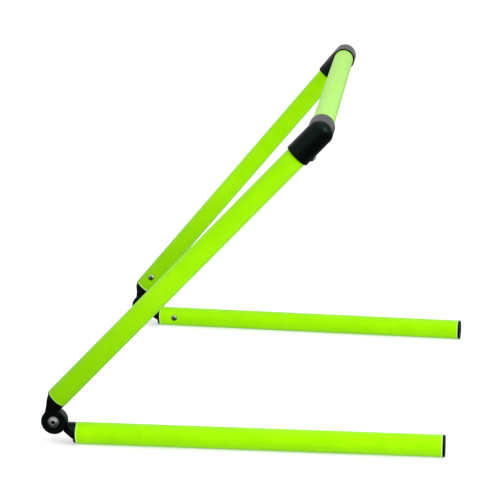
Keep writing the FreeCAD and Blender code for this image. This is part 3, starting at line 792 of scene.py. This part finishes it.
def flanged_bolt():
    """A flanged button-head bolt with a hexagon socket and a rolled thread, head from Z = 0 up."""
    floor_height = BOLT_HEAD_HEIGHT - SOCKET_DEPTH
    lead_in = (0.99 * SOCKET_FLAT, BOLT_HEAD_HEIGHT - 0.5 * MM)
    mouth = (SOCKET_MOUTH, BOLT_HEAD_HEIGHT - 0.03 * MM)
    profile = [(0.0, floor_height), (SOCKET_FLAT, floor_height), lead_in]
    profile += between(lead_in, mouth, 5)
    for step in range(2, 11):
        angle = math.radians(9 * step)
        reach = CROWN_RADIUS + (BOLT_HEAD_RADIUS - CROWN_RADIUS) * math.sin(angle)
        profile.append((reach, CROWN_BASE + (BOLT_HEAD_HEIGHT - CROWN_BASE) * math.cos(angle)))
    profile += rounded(
        (BOLT_HEAD_RADIUS, FLANGE_HEIGHT + 0.25 * MM),
        (BOLT_HEAD_RADIUS, FLANGE_HEIGHT),
        (BOLT_HEAD_RADIUS + 0.3 * MM, FLANGE_HEIGHT), 3)
    profile += rounded(
        (FLANGE_RADIUS - 0.4 * MM, FLANGE_HEIGHT),
        (FLANGE_RADIUS, FLANGE_HEIGHT),
        (FLANGE_RADIUS, 0.5 * FLANGE_HEIGHT), 4)
    profile += [(FLANGE_RADIUS, 0.1 * MM), (FLANGE_RADIUS - 0.1 * MM, 0.0), (BOLT_RADIUS, 0.0)]
    profile.append((BOLT_RADIUS, BOLT_PLAIN_END))
    rows = 84
    for row in range(rows + 1):
        height = BOLT_THREAD_START + (BOLT_THREAD_END - BOLT_THREAD_START) * row / rows
        profile.append((BOLT_RADIUS - BOLT_THREAD, height))
    profile += [(BOLT_RADIUS - 1.0 * MM, -BOLT_LENGTH), (0.0, -BOLT_LENGTH)]

    def ripple(radius, height, turn):
        # above the flange's underside, only the socket is narrower than its hexagon
        if height > 0:
            return max(radius, hexagon_reach(SOCKET_FLAT, turn))
        if height > BOLT_PLAIN_END - 0.1 * MM or radius < BOLT_RADIUS - 1.2 * BOLT_THREAD:
            return radius
        phase = (height / BOLT_PITCH - turn) % 1.0
        fade = min(1.0, (BOLT_LENGTH + height) / BOLT_THREAD_FADE)
        return radius + BOLT_THREAD * fade * max(0.0, min(1.0, 1.25 - 2.5 * abs(phase - 0.5)))

    return lathe("flanged_bolt", profile, 72, ripple)


def lock_nut():
    """A hexagon nut with chamfered corners and a rolled collar, from Z = 0 up."""
    bore = BOLT_RADIUS + 0.03 * MM
    corner = NUT_RADIUS + 0.05 * MM
    top = NUT_HEIGHT + NUT_COLLAR_HEIGHT
    washer_face = (NUT_FLAT - 0.1 * MM, 0.0)
    side_low = (corner, 0.5 * MM)
    side_high = (corner, NUT_HEIGHT - 0.6 * MM)
    shoulder = (NUT_FLAT - 0.2 * MM, NUT_HEIGHT)
    profile = [(bore, 0.0), washer_face] + between(washer_face, side_low, 6)
    profile += [side_high] + between(side_high, shoulder, 6) + [(NUT_COLLAR_RADIUS, NUT_HEIGHT)]
    profile += rounded(
        (NUT_COLLAR_RADIUS, top - NUT_COLLAR_EDGE),
        (NUT_COLLAR_RADIUS, top),
        (NUT_COLLAR_RADIUS - NUT_COLLAR_EDGE, top), 6)
    profile += [(NUT_COLLAR_RADIUS - 1.1 * MM, top - 0.15 * MM), (bore, top - 0.15 * MM)]

    def ripple(radius, height, turn):
        return min(radius, hexagon_reach(NUT_FLAT, turn))

    return lathe("lock_nut", profile, 96, ripple)


bolt_mesh = flanged_bolt()
nut_mesh = lock_nut()
insert_top = NUT_HEIGHT + NUT_COLLAR_HEIGHT
insert_mesh = lathe("nylon_insert", [
    (BOLT_RADIUS + 0.02 * MM, insert_top - 0.14 * MM),
    (NUT_COLLAR_RADIUS - 1.15 * MM, insert_top - 0.14 * MM),
    (NUT_COLLAR_RADIUS - 1.15 * MM, insert_top - 0.02 * MM),
    (BOLT_RADIUS + 0.10 * MM, insert_top - 0.02 * MM),
], 72)

for side, hand in SIDES:
    joint = joints[side + "_hinge"]
    pivot = Vector(joint["pos_m"])
    outward = Vector(joint["axis"]).normalized() * hand
    bolt_stand = stand(pivot + outward * DISC_FACE, outward)
    nut_stand = stand(pivot - outward * (DISC_FACE + FACE_PLAY + NUT_WASHER_THICKNESS), -outward)
    bolt_node = "hinge_bolt_" + side
    nut_node = "lock_nut_" + side
    stand_in(bolt_node + "_threaded", bolt_mesh, bolt_stand, bolt_node, head_steel)
    stand_in(nut_node + "_chamfered", nut_mesh, nut_stand, nut_node, bolt_steel)
    add_piece(nut_node + "_insert", insert_mesh, nut_stand, nut_node, white_nylon)

# ------------------------------------------------------------------ floor

FLOOR_RADIUS = 14.0
FLOOR_SIDES = 64
# the floor lies this much lower than the feet, so that they don't share a plane
FLOOR_DROP = 0.2 * MM

floor_mesh = bpy.data.meshes.new("studio_floor")
floor_rim = [(x, y, 0.0) for x, y in polygon(FLOOR_RADIUS, FLOOR_SIDES)]
floor_mesh.from_pydata(floor_rim, [], [tuple(range(FLOOR_SIDES))])
floor_mesh.materials.append(pale_floor("studio_floor"))
floor = new_object("studio_floor", floor_mesh)
floor.location.z = -FLOOR_DROP
# gloss reflects the dark room below the horizon, as on a set whose table ends in front of the camera
floor.visible_glossy = False

# ------------------------------------------------------------------ light

SKY_STRENGTH = 0.80
ROOM_STRENGTH = 0.015
BEHIND_STRENGTH = 0.22
# heights on the unit sphere of directions, just under the horizon and the floor's far edge
DARK_BELOW = -0.12
BRIGHT_ABOVE = -0.04
# how far back on the same sphere the room behind the object starts and is at its brightest
BEHIND_START = 0.0
BEHIND_FULL = -0.3

SUN_STRENGTH = 1.0
SUN_SPREAD = math.radians(80.0)
SUN_FACING = Vector((-0.25, 0.0, -1.0))
SOFTBOX_POWER = 9.0
SOFTBOX_SIZE = 0.7
SOFTBOX_PLACE = Vector((1.05, 0.95, 0.95))
SOFTBOX_TARGET = Vector((0.1, 0.05, 0.25))


def light_room(tree):
    """White above the horizon, and below it dim behind the object and dark in front of it."""
    backdrop = tree.nodes["Background"]
    way = tree.nodes.new("ShaderNodeTexCoord")
    split = tree.nodes.new("ShaderNodeSeparateXYZ")
    tree.links.new(way.outputs["Generated"], split.inputs["Vector"])
    either = tree.nodes.new("ShaderNodeMath")
    either.operation = "MAXIMUM"
    zones = (
        ("Z", DARK_BELOW, BRIGHT_ABOVE, SKY_STRENGTH),
        ("X", BEHIND_START, BEHIND_FULL, BEHIND_STRENGTH),
    )
    for index, (axis, dark, bright, strength) in enumerate(zones):
        glow = tree.nodes.new("ShaderNodeMapRange")
        glow.inputs["From Min"].default_value = dark
        glow.inputs["From Max"].default_value = bright
        glow.inputs["To Min"].default_value = ROOM_STRENGTH
        glow.inputs["To Max"].default_value = strength
        tree.links.new(split.outputs[axis], glow.inputs["Value"])
        tree.links.new(glow.outputs["Result"], either.inputs[index])
    tree.links.new(either.outputs["Value"], backdrop.inputs["Strength"])
    backdrop.inputs["Color"].default_value = (*WHITE, 1)


def add_light(name, kind, strength, facing):
    """A new light that shines along a direction."""
    data = bpy.data.lights.new(name, kind)
    data.energy = strength
    made = new_object(name, data)
    made.rotation_euler = facing.to_track_quat("-Z", "Y").to_euler()
    return made


world = bpy.data.worlds.new("studio")
world.use_nodes = True
bpy.context.scene.world = world
light_room(world.node_tree)

overhead = add_light("overhead_softbox", "SUN", SUN_STRENGTH, SUN_FACING)
overhead.data.angle = SUN_SPREAD
side_light = add_light("side_softbox", "AREA", SOFTBOX_POWER, SOFTBOX_TARGET - SOFTBOX_PLACE)
side_light.data.size = SOFTBOX_SIZE
side_light.location = SOFTBOX_PLACE

# ------------------------------------------------------------------ camera

SENSOR_WIDTH = 36.0
LENS = 151.85
# the camera looks along -X, turned to the side, down and about its own line of sight by these
YAW = math.radians(7.563)
PITCH = math.radians(12.111)
ROLL = math.radians(-0.194)
CAMERA_PLACE = Vector((2.7039, cad_high.y + 0.0864, 0.7654))

camera_data = bpy.data.cameras.new("photo_view")
camera_data.sensor_width = SENSOR_WIDTH
camera_data.lens = LENS
camera = new_object("photo_view", camera_data)
look = Vector((-math.cos(PITCH) * math.cos(YAW), -math.cos(PITCH) * math.sin(YAW), -math.sin(PITCH)))
level_right = look.cross(Vector((0, 0, 1))).normalized()
level_up = level_right.cross(look)
right = math.cos(ROLL) * level_right + math.sin(ROLL) * level_up
upward = -math.sin(ROLL) * level_right + math.cos(ROLL) * level_up
camera_turn = Matrix((right, upward, -look)).transposed()
camera.matrix_world = Matrix.Translation(CAMERA_PLACE) @ camera_turn.to_4x4()
bpy.context.scene.camera = camera
bpy.context.scene.view_settings.view_transform = "Standard"
